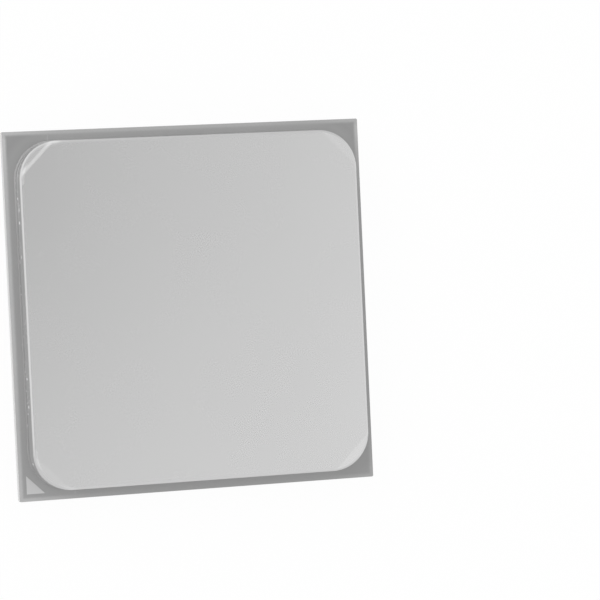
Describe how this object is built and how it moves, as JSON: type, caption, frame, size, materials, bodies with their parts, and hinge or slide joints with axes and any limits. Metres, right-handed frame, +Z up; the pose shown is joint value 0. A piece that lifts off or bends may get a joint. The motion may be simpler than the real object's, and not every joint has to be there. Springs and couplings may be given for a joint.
{
  "type": "computer processor",
  "caption": "Square lidded processor package: flat plated lid with round corners on a dark laminate board, round pins in a keyed grid below.",
  "frame": {"origin": "middle of the pin field on the plane of the pin tips", "axes": "+Z up through the lid, +X right and +Y to the rear, with the pin one mark at the front left corner"},
  "size_m": [0.04, 0.04, 0.0062],
  "materials": {
    "board": "dark coated laminate",
    "lid": "satin nickel plating",
    "adhesive": "cured sealant",
    "silicon": "polished silicon",
    "underfill": "cured resin",
    "interface": "thermal compound",
    "capacitor": "ceramic with tinned ends",
    "mark": "plated copper",
    "solder": "bright solder",
    "pin": "bright plated pin"
  },
  "bodies": {
    "root": {"board": "board", "lid": "lid", "lid_adhesive": "adhesive", "silicon_die": "silicon", "underfill": "underfill", "thermal_interface": "interface", "decoupling_capacitors": "capacitor", "pin_one_mark": "mark", "solder_rows_a_to_d": "solder", "solder_rows_e_to_h": "solder", "solder_rows_j_to_m": "solder", "solder_rows_n_to_t": "solder", "solder_rows_u_to_y": "solder", "solder_rows_aa_to_ad": "solder", "solder_rows_ae_to_ah": "solder", "solder_rows_aj_to_al": "solder", "pin_row_a": "pin", "pin_row_b": "pin", "pin_row_c": "pin", "pin_row_d": "pin", "pin_row_e": "pin", "pin_row_f": "pin", "pin_row_g": "pin", "pin_row_h": "pin", "pin_row_j": "pin", "pin_row_k": "pin", "pin_row_l": "pin", "pin_row_m": "pin", "pin_row_n": "pin", "pin_row_p": "pin", "pin_row_r": "pin", "pin_row_t": "pin", "pin_row_u": "pin", "pin_row_v": "pin", "pin_row_w": "pin", "pin_row_y": "pin", "pin_row_aa": "pin", "pin_row_ab": "pin", "pin_row_ac": "pin", "pin_row_ad": "pin", "pin_row_ae": "pin", "pin_row_af": "pin", "pin_row_ag": "pin", "pin_row_ah": "pin", "pin_row_aj": "pin", "pin_row_ak": "pin", "pin_row_al": "pin"}
  },
  "joints": []
}
